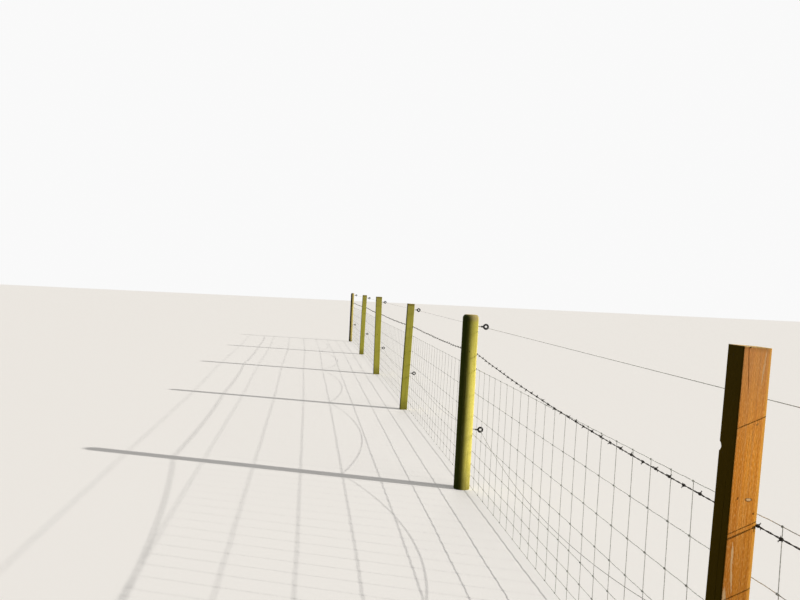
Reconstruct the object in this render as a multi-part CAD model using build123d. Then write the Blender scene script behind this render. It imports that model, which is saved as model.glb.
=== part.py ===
from build123d import *
from dataclasses import dataclass
import math
import os

# Post-and-wire stock fence: six bays on seven posts, with hinge-joint netting,
# one barbed strand and two electric wires held off the posts by ring insulators.
# Frame: +Y along the run, +X towards the field, +Z up, millimetres.
# The origin is the centre of the middle post's foot, at ground level.

# Setting out of the run
BAY = 3450.0                 # post to post, 23 pitches of the netting
SEAT = 0.3                   # clearance of a wire from the face that carries it
DRAWN_STEP_COUNT = 2         # every second stay and barb is modelled
FOOT_OFFSETS = (5.0, -38.0, 12.0, 0.0, -6.0, -12.0, -55.0)  # field side of each foot, from the string line

# Posts
POST_HEIGHT = 1180.0
HEIGHT_OFFSETS = (0.0, 65.0, 10.0, -5.0, 12.0, -15.0, -20.0)  # of each post's top, from POST_HEIGHT
SQUARE_POST = 76.0           # sawn square posts
THICK_ROUND_POST = 110.0
MEDIUM_ROUND_POST = 88.0
THIN_ROUND_POST = 82.0
POST_ARRIS = 2.5             # chamfer of the sawn corners
HEAD_TAPER = 16.0            # a round post's head narrows by this much all round
HEAD_HEIGHT = 24.0
WANE_WIDTH = 11.0            # shallow flat along one corner of the brown post
WANE_DEPTH = 4.0
CHIP_RADIUS = 9.0            # chip out of the brown post's back corner
CHIP_BELOW_TOP = 260.0

# Stock netting: eight line wires 800 mm high, closer together near the ground
NETTING_FOOT = 20.0          # bottom line wire above the ground
LINE_GAPS = (75.0, 75.0, 90.0, 115.0, 130.0, 150.0, 165.0)
LINE_WIRE = 2.5
STAY_WIRE = 2.3              # across the corners of the three-sided bar
STAY_SPACING = 150.0
FIRST_STAY = 40.0            # from a bay's first post

# Barbed strand
STRAND_WIRE = 5.0            # two 2.5 mm wires, across the flats of the six-sided bar
STRAND_ABOVE_NETTING = 102.0
STRAND_DROP = 20.0           # below the netting's top, on the brown post
STRAND_SAGS = (40.0, 30.0, 12.0, 12.0, 12.0, 12.0)
STRAND_LENGTH_COUNT = 6      # straight lengths in a bay
BARB_SPACING = 100.0
FIRST_BARBS = (12.0, 62.0)   # from the first post of the odd and of the even bays
BARB_REACH = 12.0            # from the strand's axis to a barb's tip
BARB_ROOT = 1.2
BARB_ANGLE = 60.0            # from the level, outwards and up or down

# Ring insulators, their round edges as flats
RING_RADIUS = 21.0
RING_FLAT_COUNT = 16
EYE_RADIUS = 8.0
EYE_FLAT_COUNT = 12
RING_THICKNESS = 11.0
RING_OUT = 53.0              # ring centre from the post's face
SCREW_RADIUS = 3.0           # steel screw between post and plastic
SCREW_LENGTH = 18.0
SHANK_TIP_RADIUS = 5.5
SHANK_RADIUS = 7.5           # where the shank joins the ring
TOP_RING_BELOW_TOP = 70.0
RING_LINE_COUNT = 4          # line wires under the one that the lower insulators stand above
LOWER_RING_ABOVE_LINE = 30.0
RAISED_RING_ABOVE_LINE = 85.0

# Electric wires
ELECTRIC_WIRE = 2.5
WIRE_TAIL = 45.0             # beyond the last ring at each end of the run
LOWER_WIRE_SAGS = (120.0, 175.0, 105.0, 95.0, 130.0, 100.0)
LOWER_WIRE_LENGTH_COUNT = 8  # straight lengths in a bay


@dataclass(frozen=True)
class Post:
    """One post as it was set: its section, its lean and how the wires meet it."""

    section: str             # square or round
    size: float
    lean: float              # degrees, top towards the field
    stands_back: bool = False     # the netting passes it, and the strand is low on it
    ring_above_line: float = LOWER_RING_ABOVE_LINE
    top_ring: bool = True


POSTS = (
    Post("round", MEDIUM_ROUND_POST, lean=0.5),
    Post("square", SQUARE_POST, lean=2.2, stands_back=True,
         ring_above_line=RAISED_RING_ABOVE_LINE, top_ring=False),
    Post("round", THICK_ROUND_POST, lean=0.3),
    Post("square", SQUARE_POST, lean=1.5),
    Post("round", MEDIUM_ROUND_POST, lean=-0.6),
    Post("round", THIN_ROUND_POST, lean=0.6),
    Post("square", SQUARE_POST, lean=0.0),
)
BROWN_POST = 1
MIDDLE_POST = len(POSTS) // 2

# The string line runs along the middle post's field side
STRING_LINE = POSTS[MIDDLE_POST].size / 2

# Heights that follow from the netting and the posts
LINE_HEIGHTS = [NETTING_FOOT + sum(LINE_GAPS[:count]) for count in range(len(LINE_GAPS) + 1)]
STRAND_HEIGHT = LINE_HEIGHTS[-1] + STRAND_ABOVE_NETTING
DROPPED_STRAND_HEIGHT = LINE_HEIGHTS[-1] - STRAND_DROP
TOP_RING_HEIGHT = POST_HEIGHT - TOP_RING_BELOW_TOP


def station(index):
    """Distance of a post along the run from the middle post."""
    return (index - MIDDLE_POST) * BAY


def face_x(index, height):
    """Field side of a post at a height, with its lean."""
    return STRING_LINE + FOOT_OFFSETS[index] + height * math.tan(math.radians(POSTS[index].lean))


def edge_rise(index):
    """Room a wire needs to clear the edges of a square post that stands proud of the run."""
    post = POSTS[index]
    if post.section == "round":
        return 0.0
    neighbours = [number for number in (index - 1, index + 1) if 0 <= number < len(POSTS)]
    proud = [face_x(index, height) - face_x(number, height)
             for number in neighbours for height in (0, STRAND_HEIGHT)]
    return max(0.0, *proud) / BAY * post.size / 2


def between(start, end, share):
    """Point at a share of the way between two points."""
    return start + (end - start) * share


def sagging(start, end, sag, share):
    """Point at a share of a span whose middle hangs below its chord."""
    return between(start, end, share) - Vector(0, 0, 4 * sag * share * (1 - share))


def straight_length(start, end, section):
    """Straight bar between two points, its ends plumb on the run or level on an upright."""
    along_run = abs((end - start).Y) > abs((end - start).Z)
    normal = (0, 1, 0) if along_run else (0, 0, 1)
    face = (Plane(origin=start, x_dir=(1, 0, 0), z_dir=normal) * section).face()
    return Solid.extrude(face, end - start)


def straight_lengths(points, section):
    """Straight bars from each point to the next."""
    return [straight_length(start, end, section) for start, end in zip(points, points[1:])]


def fused(pieces):
    """One solid of pieces that meet or cross."""
    return pieces[0].fuse(*pieces[1:])


def drawn_places(first, spacing):
    """Places along a bay of the stays or barbs that are modelled."""
    count = int((BAY - first) / spacing) + 1
    return [first + spacing * number for number in range(count)][1::DRAWN_STEP_COUNT]


def seat_on_post(index, piece):
    """Turn a piece drawn against a plumb face at the origin to a post's lean and place."""
    foot = Pos(face_x(index, 0), station(index), 0)
    return foot * Rotation(0, POSTS[index].lean, 0) * piece


def square_blank(size, length):
    """Sawn post with eased corners, its field side on X = 0."""
    blank = Box(size, size, length, align=(Align.MAX, Align.CENTER, Align.MIN))
    return chamfer(blank.edges().filter_by(Axis.Z), POST_ARRIS)


def round_blank(size, length):
    """Peeled round post with a tapered head, its field side on X = 0."""
    standing = (Align.CENTER, Align.CENTER, Align.MIN)
    radius = size / 2
    body = Cylinder(radius, length - HEAD_HEIGHT, align=standing)
    head = Cone(radius, radius - HEAD_TAPER, HEAD_HEIGHT, align=standing)
    return Pos(-radius, 0, 0) * (body + Pos(0, 0, length - HEAD_HEIGHT) * head)


def brown_post_damage(size, length):
    """Wane along the near field-side corner, and the chip in the far corner."""
    sliver = make_face(Polyline((0, 0), (-WANE_WIDTH, 0), (0, WANE_DEPTH), close=True))
    wane = Pos(0, -size / 2, 0) * extrude(sliver, length)
    corner = Pos(-size, size / 2, length - CHIP_BELOW_TOP)
    chip = corner * Rotation(0, 0, 45) * Rotation(90, 0, 0) * Cylinder(CHIP_RADIUS, size / 3)
    return [wane, chip]


def post_solid(index):
    """Post cut level at the ground, leaning as it was set."""
    post = POSTS[index]
    buried = post.size
    length = buried + POST_HEIGHT + HEIGHT_OFFSETS[index]
    blank = square_blank if post.section == "square" else round_blank
    wood = blank(post.size, length)
    if index == BROWN_POST:
        wood = wood - brown_post_damage(post.size, length)
    leaning = seat_on_post(index, Pos(0, 0, -buried) * wood)
    return split(leaning, bisect_by=Plane.XY, keep=Keep.TOP)


def netting_post_point(index, height):
    """Axis of the netting at a post: on its field side, or straight past one that stands back."""
    if POSTS[index].stands_back:
        return between(netting_post_point(index - 1, height), netting_post_point(index + 1, height), 0.5)
    off = SEAT + edge_rise(index) + LINE_WIRE / 2
    return Vector(face_x(index, height) + off, station(index), height)


def netting_point(bay, share, height):
    """Axis of the netting at a share of a bay."""
    return between(netting_post_point(bay, height), netting_post_point(bay + 1, height), share)


def netting_bay(bay):
    """Line wires from post to post, with the stays fused across them."""
    line_section = Rectangle(LINE_WIRE, LINE_WIRE)
    stay_section = RegularPolygon(STAY_WIRE / 2, 3)
    bars = []
    for height in LINE_HEIGHTS:
        start, end = [netting_point(bay, share, height) for share in (0, 1)]
        bars.append(straight_length(start, end, line_section))
    for place in drawn_places(FIRST_STAY, STAY_SPACING):
        foot, head = [netting_point(bay, place / BAY, LINE_HEIGHTS[end]) for end in (0, -1)]
        bars.append(straight_length(foot, head, stay_section))
    return fused(bars)


def strand_post_point(index):
    """Axis of the barbed strand where a post carries it."""
    off = SEAT + edge_rise(index) + STRAND_WIRE / 2
    height = DROPPED_STRAND_HEIGHT if POSTS[index].stands_back else STRAND_HEIGHT
    return Vector(face_x(index, height) + off, station(index), height)


def barb(point, angle):
    """One pointed wire end, a three-sided spike out of the strand's axis."""
    turn = math.radians(angle)
    direction = Vector(math.cos(turn), 0, math.sin(turn))
    root = (Plane(origin=point, x_dir=(0, 1, 0), z_dir=direction) * RegularPolygon(BARB_ROOT, 3)).face()
    tip = point + direction * BARB_REACH
    sides = [Face(Wire.make_polygon([edge @ 0, edge @ 1, tip], close=True)) for edge in root.edges()]
    return Solid(Shell([root, *sides]))


def barbed_bay(bay):
    """Barbed strand of one bay, with pairs of barbs along its straight lengths."""
    start, end = strand_post_point(bay), strand_post_point(bay + 1)
    shares = [step / STRAND_LENGTH_COUNT for step in range(STRAND_LENGTH_COUNT + 1)]
    knees = [sagging(start, end, STRAND_SAGS[bay], share) for share in shares]
    flats = RegularPolygon(STRAND_WIRE / 2, 6, major_radius=False, rotation=30)
    pieces = straight_lengths(knees, flats)
    for place in drawn_places(FIRST_BARBS[bay % 2], BARB_SPACING):
        step = int(place / BAY * STRAND_LENGTH_COUNT)
        point = between(knees[step], knees[step + 1], place / BAY * STRAND_LENGTH_COUNT - step)
        pieces += [barb(point, BARB_ANGLE), barb(point, -BARB_ANGLE)]
    return fused(pieces)


def insulator(index, height):
    """Ring insulator on its screw, the ring square to the run."""
    shank = make_face(Polyline(
        (SCREW_LENGTH, SHANK_TIP_RADIUS), (RING_OUT, SHANK_RADIUS),
        (RING_OUT, -SHANK_RADIUS), (SCREW_LENGTH, -SHANK_TIP_RADIUS), close=True))
    ring = RegularPolygon(RING_RADIUS, RING_FLAT_COUNT)
    eye = RegularPolygon(EYE_RADIUS, EYE_FLAT_COUNT, major_radius=False, rotation=180 / EYE_FLAT_COUNT)
    outline = shank + Pos(RING_OUT, 0) * ring - Pos(RING_OUT, 0) * eye
    plastic = extrude(Plane.XZ * outline, RING_THICKNESS / 2, both=True)
    screw = extrude(Plane.YZ * RegularPolygon(SCREW_RADIUS, 6), SCREW_LENGTH)
    return seat_on_post(index, Pos(SEAT, 0, height) * (plastic + screw))


def lower_ring_height(index):
    """Height of a post's lower insulator, between two line wires of the netting."""
    return LINE_HEIGHTS[RING_LINE_COUNT] + POSTS[index].ring_above_line


def ring_wire_point(index, height, rise):
    """Wire's axis in a ring, lying on the bottom of its eye."""
    drop = EYE_RADIUS - ELECTRIC_WIRE / 2 - SEAT - rise
    place = seat_on_post(index, Pos(SEAT + RING_OUT, 0, height - drop))
    return place.position


def lower_wire_rise():
    """Height a sagging wire gains inside a ring to clear the ring's edges."""
    steepest = max(4 * sag / BAY for sag in LOWER_WIRE_SAGS)
    steepest += abs(RAISED_RING_ABOVE_LINE - LOWER_RING_ABOVE_LINE) / BAY
    return steepest * RING_THICKNESS / 2


def lower_wire_bay(bay):
    """Lower electric wire of one bay, slack between its rings."""
    rise = lower_wire_rise()
    start, end = [ring_wire_point(index, lower_ring_height(index), rise) for index in (bay, bay + 1)]
    shares = [step / LOWER_WIRE_LENGTH_COUNT for step in range(LOWER_WIRE_LENGTH_COUNT + 1)]
    points = [sagging(start, end, LOWER_WIRE_SAGS[bay], share) for share in shares]
    if bay == 0:
        points.insert(0, start - Vector(0, WIRE_TAIL, 0))
    if bay == len(POSTS) - 2:
        points.append(end + Vector(0, WIRE_TAIL, 0))
    return fused(straight_lengths(points, RegularPolygon(ELECTRIC_WIRE / 2, 6)))


def top_wire():
    """Top electric wire, straight through every ring from end to end."""
    ringed = [index for index, post in enumerate(POSTS) if post.top_ring]
    points = [ring_wire_point(index, TOP_RING_HEIGHT, 0) for index in ringed]
    points.insert(0, points[0] - Vector(0, WIRE_TAIL, 0))
    points.append(points[-1] + Vector(0, WIRE_TAIL, 0))
    return fused(straight_lengths(points, RegularPolygon(ELECTRIC_WIRE / 2, 6)))


def build():
    """Every sub-part of the fence by its node name."""
    parts = {}
    for index, post in enumerate(POSTS):
        number = index + 1
        parts[f"post_{number}"] = post_solid(index)
        if post.top_ring:
            parts[f"top_insulator_{number}"] = insulator(index, TOP_RING_HEIGHT)
        parts[f"lower_insulator_{number}"] = insulator(index, lower_ring_height(index))
    for bay in range(len(POSTS) - 1):
        number = bay + 1
        parts[f"netting_bay_{number}"] = netting_bay(bay)
        parts[f"barbed_wire_bay_{number}"] = barbed_bay(bay)
        parts[f"lower_wire_bay_{number}"] = lower_wire_bay(bay)
    parts["top_wire"] = top_wire()
    return parts


os.makedirs("parts", exist_ok=True)
for node, shape in build().items():
    export_step(shape, f"parts/{node}.step")
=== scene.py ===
"""Looks of a post-and-wire stock fence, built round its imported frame.

+Y runs along the fence, +X is the field side that carries the wires, +Z is up, in metres.
"""

import logging
import math
import random
from collections.abc import Callable, Sequence
from dataclasses import dataclass
from enum import Enum
from functools import partial

import bmesh
import bpy
from mathutils import Matrix, Vector, noise


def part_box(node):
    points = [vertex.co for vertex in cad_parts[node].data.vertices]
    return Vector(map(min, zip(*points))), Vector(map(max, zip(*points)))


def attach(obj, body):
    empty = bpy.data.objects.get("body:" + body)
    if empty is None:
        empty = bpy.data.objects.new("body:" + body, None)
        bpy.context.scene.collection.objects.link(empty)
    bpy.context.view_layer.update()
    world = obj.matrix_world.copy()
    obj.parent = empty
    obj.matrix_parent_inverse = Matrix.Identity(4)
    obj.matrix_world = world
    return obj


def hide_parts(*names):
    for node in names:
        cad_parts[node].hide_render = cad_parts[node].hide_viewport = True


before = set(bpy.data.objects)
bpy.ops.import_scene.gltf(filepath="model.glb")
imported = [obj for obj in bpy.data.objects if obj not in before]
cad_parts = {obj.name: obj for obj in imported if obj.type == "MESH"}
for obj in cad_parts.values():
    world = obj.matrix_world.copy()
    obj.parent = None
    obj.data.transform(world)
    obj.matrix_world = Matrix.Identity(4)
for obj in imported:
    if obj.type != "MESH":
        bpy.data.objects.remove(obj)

log = logging.getLogger("fence")

MM = 0.001
BODY = "root"
POST_COUNT = 7
BAY_COUNT = POST_COUNT - 1
SAME_PLACE = 0.02 * MM       # two corners of the frame's meshes this close are at one place
BARS_APART = 10 * MM         # corners of one bar of the frame are closer than this

# Wire gauges
LINE_RADIUS = 1.25 * MM      # line wires of the netting
STAY_RADIUS = 1.15 * MM
STRAND_RADIUS = 1.25 * MM    # each of the barbed strand's two wires
BARB_RADIUS = 1.0 * MM
FENCE_WIRE_RADIUS = 1.25 * MM
STAPLE_RADIUS = 1.6 * MM

# Netting
STAY_SPACING = 150 * MM
FIRST_STAY = 40 * MM         # from a bay's first post
STAY_COUNT = 23

# Barbed strand
BARB_SPACING = 100 * MM
BARB_REACH = 12 * MM
FIRST_BARBS = (12 * MM, 62 * MM)   # from the first post of the odd and of the even bays
STRAND_LAY = 75 * MM         # one full turn of the twist

# Unevenness of the wood, in waves to the metre across and along the grain
BROAD_WAVES = Vector((30, 30, 5))
FINE_WAVES = Vector((260, 260, 18))


def linear(colour: str) -> tuple[float, float, float, float]:
    """Turn an sRGB colour to linear light.

    Args:
        colour: Six hex digits after a hash.

    Returns:
        Red, green, blue and an alpha of one.
    """
    shares = [int(colour[place:place + 2], 16) / 255 for place in (1, 3, 5)]
    light = [share / 12.92 if share <= 0.04045 else ((share + 0.055) / 1.055) ** 2.4 for share in shares]
    return (*light, 1.0)


def add_node(tree: bpy.types.NodeTree, kind: str, inputs: dict | Sequence = (), output: int | str = 0,
             stops: Sequence[tuple[float, str]] = (), **settings: str) -> bpy.types.NodeSocket | None:
    """Add a node with its settings, its values and its links.

    Args:
        tree: Node tree of a material or the world.
        kind: Blender's name of the node type, without its first word.
        inputs: Values, or sockets to link from, in order or by input name or number.
        output: Name or number of the output that is wanted.
        stops: Place and hex colour of each stop of a colour ramp.
        settings: Properties of the node.

    Returns:
        The wanted output, or nothing where the node has none.
    """
    node = tree.nodes.new(f"ShaderNode{kind}")
    for name, value in settings.items():
        setattr(node, name, value)
    for name, value in inputs.items() if isinstance(inputs, dict) else enumerate(inputs):
        if isinstance(value, bpy.types.NodeSocket):
            tree.links.new(value, node.inputs[name])
        else:
            node.inputs[name].default_value = value
    for number, (place, colour) in enumerate(stops):
        elements = node.color_ramp.elements
        element = elements[number] if number < 2 else elements.new(place)
        element.position = place
        element.color = linear(colour)
    return node.outputs[output] if node.outputs else None


def nodes_of(owner: bpy.types.Material | bpy.types.World) -> Callable:
    """Empty a node tree.

    Args:
        owner: Material or world that has the tree.

    Returns:
        The function that adds a node to it.
    """
    owner.use_nodes = True
    owner.node_tree.nodes.clear()
    return partial(add_node, owner.node_tree)


def centres_at(node: str, run: float) -> list[Vector]:
    """Find the bars of a frame node that pass one place along the run.

    Args:
        node: Frame node made of bars along the run.
        run: Place along the run where the bars have corners.

    Returns:
        Centre of each bar's section, from the lowest up.
    """
    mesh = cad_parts[node].data
    corners = [vertex.co for vertex in mesh.vertices if abs(vertex.co.y - run) < SAME_PLACE]
    groups: list[list[Vector]] = []
    for corner in sorted(corners, key=lambda co: co.z):
        if groups and corner.z - groups[-1][-1].z < BARS_APART:
            groups[-1].append(corner)
        else:
            groups.append([corner])
    centres = []
    for group in groups:
        across, up = [[corner[axis] for corner in group] for axis in (0, 2)]
        centres.append(Vector(((min(across) + max(across)) / 2, run, (min(up) + max(up)) / 2)))
    return centres


def stamp(target: bmesh.types.BMesh, mesh: bpy.types.Mesh, place: Matrix) -> None:
    """Add a copy of a mesh to a bmesh.

    Args:
        target: Bmesh that gets the copy.
        mesh: Mesh to copy.
        place: Where the copy goes, which may also shear it.
    """
    before = len(target.verts)
    target.from_mesh(mesh)
    target.verts.ensure_lookup_table()
    bmesh.ops.transform(target, matrix=place, verts=target.verts[before:])


def kept_mesh(name: str, bm: bmesh.types.BMesh) -> bpy.types.Mesh:
    """Write a bmesh to a mesh.

    Args:
        name: Name of the mesh.
        bm: Bmesh to write and free.

    Returns:
        The mesh, to be stamped or shown later.
    """
    mesh = bpy.data.meshes.new(name)
    bm.to_mesh(mesh)
    bm.free()
    return mesh


def cap_ends(bm: bmesh.types.BMesh) -> None:
    """Fill the open ends of wires and posts."""
    bmesh.ops.holes_fill(bm, edges=[edge for edge in bm.edges if edge.is_boundary], sides=0)


def close_up(bm: bmesh.types.BMesh) -> None:
    """Fill the open ends and turn all faces outwards."""
    cap_ends(bm)
    bmesh.ops.recalc_face_normals(bm, faces=bm.faces)


def add_circle(bm: bmesh.types.BMesh, sides: int, radius: float, place: Matrix) -> list[bmesh.types.BMEdge]:
    """Add a circle to a bmesh.

    Args:
        bm: Bmesh to add it to.
        sides: Number of its sides.
        radius: Its radius.
        place: Where it lies, and any stretch.

    Returns:
        Its edges.
    """
    made = bmesh.ops.create_circle(bm, segments=sides, radius=radius, matrix=place)
    return list({edge for vert in made["verts"] for edge in vert.link_edges})


def sweep(bm: bmesh.types.BMesh, path: Sequence[Vector], radii: Sequence[float] | float, sides: int) -> None:
    """Draw a round wire along a path by extruding a circle.

    Args:
        bm: Bmesh to add the wire to.
        path: Points of the wire's axis.
        radii: One radius, or one for each point.
        sides: Sides of the wire's section.
    """
    last = len(path) - 1
    sizes = [radii] * len(path) if isinstance(radii, float) else list(radii)
    ways = [(path[min(step + 1, last)] - path[max(step - 1, 0)]).normalized() for step in range(len(path))]
    attitude = Vector((0, 0, 1)).rotation_difference(ways[0]).to_matrix().to_4x4()
    ring = add_circle(bm, sides, sizes[0], Matrix.Translation(path[0]) @ attitude)
    for step in range(1, len(path)):
        grown = bmesh.ops.extrude_edge_only(bm, edges=ring)["geom"]
        verts = [element for element in grown if isinstance(element, bmesh.types.BMVert)]
        ring = [element for element in grown if isinstance(element, bmesh.types.BMEdge)
                and element.verts[0] in verts and element.verts[1] in verts]
        turn = ways[step - 1].rotation_difference(ways[step]).to_matrix().to_4x4()
        grow = Matrix.Scale(sizes[step] / sizes[step - 1], 4)
        move = Matrix.Translation(path[step]) @ turn @ grow @ Matrix.Translation(-path[step - 1])
        bmesh.ops.transform(bm, matrix=move, verts=verts)


def show(name: str, bm: bmesh.types.BMesh, finishes: Sequence[bpy.types.Material],
         nodes: Sequence[str] = (), crease: float = 60.0) -> None:
    """Put a finished piece in the scene, riding on the fence.

    Args:
        name: Name of the piece.
        bm: Its mesh, in place, which is freed.
        finishes: Its materials.
        nodes: Frame nodes that it stands for.
        crease: Faces that meet at more than this many degrees keep a crease.
    """
    for face in bm.faces:
        face.smooth = True
    for edge in bm.edges:
        edge.smooth = edge.calc_face_angle(0) < math.radians(crease)
    mesh = kept_mesh(name, bm)
    for finish in finishes:
        mesh.materials.append(finish)
    piece = bpy.data.objects.new(name, mesh)
    bpy.context.scene.collection.objects.link(piece)
    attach(piece, BODY)
    if nodes:
        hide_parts(*nodes)
    log.info("%s: %d faces", name, len(mesh.polygons))


class Section(Enum):
    """How a post was cut."""

    SQUARE = "sawn square"
    ROUND = "peeled round"


class Side(Enum):
    """Side of a post, in quarter turns from the side that faces back along the run."""

    NEAR = 0
    FIELD = 1
    FAR = 2
    PATH = 3


class MarkKind(Enum):
    """What a mark on the wood is, as the grain's shader reads it."""

    KNOT = 0.0
    HOLE = 0.5
    GRAZE = 1.0


@dataclass(frozen=True)
class Mark:
    """Knot, nail hole or pale graze in a post's side, in millimetres."""

    kind: MarkKind
    side: Side
    across: float
    height: float
    wide: float
    tall: float
    slant: float = 0.0       # sideways run for each unit of height


@dataclass(frozen=True)
class DryingCheck:
    """Split that opened along the grain as the post dried, in millimetres."""

    side: Side
    across: float
    low: float
    high: float
    gape: float = 2.2
    depth: float = 7.0
    drift: float = 0.0       # how far its top stands to the side of its foot


@dataclass(frozen=True)
class Setting:
    """Where a post of the frame stands and how it leans."""

    foot: Vector
    size: float
    lean: float
    length: float

    @classmethod
    def read(cls, node: str) -> "Setting":
        """Measure a post of the frame.

        Args:
            node: Name of the post's node.

        Returns:
            Its axis at ground level, width, lean in radians and length.
        """
        low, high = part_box(node)
        corners = [vertex.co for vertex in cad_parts[node].data.vertices]
        foot_across = [co.x for co in corners if co.z < SAME_PLACE]
        top_across = [co.x for co in corners if co.z > high.z - 4 * MM]
        foot = Vector(((min(foot_across) + max(foot_across)) / 2, (low.y + high.y) / 2, 0))
        size = high.y - low.y
        rise = (min(top_across) + max(top_across)) / 2 - foot.x
        lean = math.atan2(rise, high.z)
        return cls(foot, size, lean, (high.z - size / 2 * math.sin(abs(lean))) / math.cos(lean))

    def place(self) -> Matrix:
        """Matrix from the post's own axes, on its foot, to the frame."""
        return Matrix.Translation(self.foot) @ Matrix.Rotation(self.lean, 4, "Y")


@dataclass(frozen=True)
class Timber:
    """Softwood post, its colour from the treatment and the sun, with painted shade and a painted highlight,
    its surface open and matt.
    """

    name: str
    slot: str
    early: str               # pale wood of spring growth
    late: str                # dark line that ends each year's growth
    stain: str               # broad patches where the treatment took more
    streak: str              # bleached fibres
    knot: str
    knot_core: str
    faded: str               # upper part, bleached by rain and sun
    weathered: str           # head of the post, greyed by rain
    shade_and_algae: str = "#2b3a08"   # painted shade on the path side, with a green algae tint
    sunlight_and_bleach: str = "#c7ae50"  # painted highlight along the field side, partly sun bleaching
    end_grain: str = "#cdb57a"
    graze: str = "#e9e3ae"
    nail_hole: str = "#2e1508"
    # painted shade in the open drying checks
    split_shade: str = "#1c1207"
    roughness: float = 0.85
    sheen: float = 0.1
    ring_width: float = 5 * MM
    pith: tuple[float, float] = (-20 * MM, 55 * MM)
    pith_tilt: tuple[float, float, float] = (0.004, 0.006, 0)
    drawn: tuple[float, float, float] = (0.1, 0.022, 0.25)   # stains, streaks, flecks: width over length
    waver: float = 9 * MM            # how far the year rings wander
    bend: float = 7 * MM             # how far they bend round a knot
    waver_size: float = 1 / 22       # 45 mm
    patch_size: float = 1 / 9        # 111 mm
    streak_size: float = 1 / 260     # 3.8 mm
    fleck_size: float = 2.5 * MM
    shade_and_algae_reach: float = 3 * MM
    shade_and_algae_share: float = 0.6
    sunlight_and_bleach_reach: float = 0.5 * MM
    damp_foot: float = 30 * MM       # as damp as it gets up to here
    damp_height: float = 160 * MM
    damp_share: float = 0.5
    fleck_share: float = 0.3
    raggedness: float = 30 * MM      # how far the edges of head and foot wander
    weathered_length: float = 14 * MM
    weathered_blend: float = 22 * MM
    end_edge: tuple[float, float] = (2.6 * MM, 1.6 * MM)     # below the top, where end grain begins
    faded_length: float = 300 * MM
    stain_share: float = 0.45
    streak_share: float = 0.35
    relief: float = 0.8 * MM         # raised fibres

    def material(self, setting: Setting, seed: int) -> bpy.types.Material:
        """Make the finish of one post.

        Args:
            setting: The post, which the grain follows.
            seed: Moves the grain, so that no two posts are alike.

        Returns:
            The material.
        """
        material = bpy.data.materials.new(f"{self.name}_{seed}")
        add = nodes_of(material)
        inverse = setting.place().inverted()
        own = add("Mapping", (add("TexCoord", output="Object"), inverse.translation, inverse.to_euler()))
        shifted = add("VectorMath", (own, (0.37 * seed, 0.61 * seed, 1.7 * seed)), operation="ADD")
        from_mark = add("Attribute", output="Vector", attribute_name="from_mark")
        kind = add("SeparateXYZ", (from_mark,), "Z")
        flat_mark = add("VectorMath", (from_mark, (1, 1, 0)), operation="MULTIPLY")
        mark_distance = add("VectorMath", (flat_mark,), "Value", operation="LENGTH")
        knotty = add("Math", (kind, 0.25), operation="LESS_THAN")
        near_mark = add("MapRange", (mark_distance, 0.8, 2.6, 1.0, 0.0), interpolation_type="SMOOTHSTEP")
        round_knot = add("Math", (near_mark, knotty), operation="MULTIPLY")

        # Year rings about the pith, wavering along the log and bending round knots
        pith = (-self.pith[0], -self.pith[1], 0)
        about_pith = add("Mapping", (own, pith, self.pith_tilt, (1, 1, 0.0)))
        radius = add("VectorMath", (about_pith,), "Value", operation="LENGTH")
        drawn_out, drawn_far, drawn_little = [
            add("Mapping", {"Vector": shifted, "Scale": (1, 1, along)}) for along in self.drawn]
        waver = add("TexNoise", {
            "Vector": drawn_out, "Scale": 1 / self.waver_size, "Detail": 3.0, "Roughness": 0.5})
        wavered = add("Math", (waver, self.waver, radius), operation="MULTIPLY_ADD")
        bent = add("Math", (round_knot, self.bend, wavered), operation="MULTIPLY_ADD")
        years = add("Math", (bent, self.ring_width), operation="DIVIDE")
        year = add("Math", (years,), operation="FRACT")
        late = add("ValToRGB", (year,), stops=(
            (0.0, "#161616"), (0.93, "#b8b8b8"), (0.45, "#262626"), (1.0, "#161616")))

        # Broad stains, flecks, and streaks a millimetre or two wide and many centimetres long
        streaks = add("TexNoise", {
            "Vector": drawn_far, "Scale": 1 / self.streak_size, "Detail": 4.0, "Roughness": 0.6})
        patches = add("TexNoise", {
            "Vector": drawn_out, "Scale": 1 / self.patch_size, "Detail": 4.0, "Roughness": 0.55})
        mottle = add("TexNoise", {"Vector": drawn_little, "Scale": 1 / self.fleck_size, "Detail": 3.0})
        layers = [(late, self.late)]
        for pattern, begin, end, share, colour in (
                (patches, 0.42, 0.66, self.stain_share, self.stain),
                (mottle, 0.42, 0.68, self.fleck_share, self.late),
                (mottle, 0.46, 0.3, self.fleck_share, self.streak),
                (streaks, 0.52, 0.72, self.streak_share, self.streak)):
            layers.append((add("MapRange", (pattern, begin, end, 0.0, share)), colour))

        # Knots with a dark rim, dark nail holes and pale grazes
        ragged = add("Math", (mottle, 0.5, mark_distance), operation="MULTIPLY_ADD")
        in_mark = add("MapRange", (ragged, 1.1, 1.6, 0.85, 0.0))
        rim = add("Math", (add("MapRange", (ragged, 0.75, 1.2)), knotty), operation="MULTIPLY")
        core = add("ValToRGB", (kind,), stops=(
            (0.0, self.knot_core), (1.0, self.graze), (0.5, self.nail_hole)))
        mark = add("Mix", {0: rim, 6: core, 7: linear(self.knot)}, 2, data_type="RGBA")
        layers.append((in_mark, mark))
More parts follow.
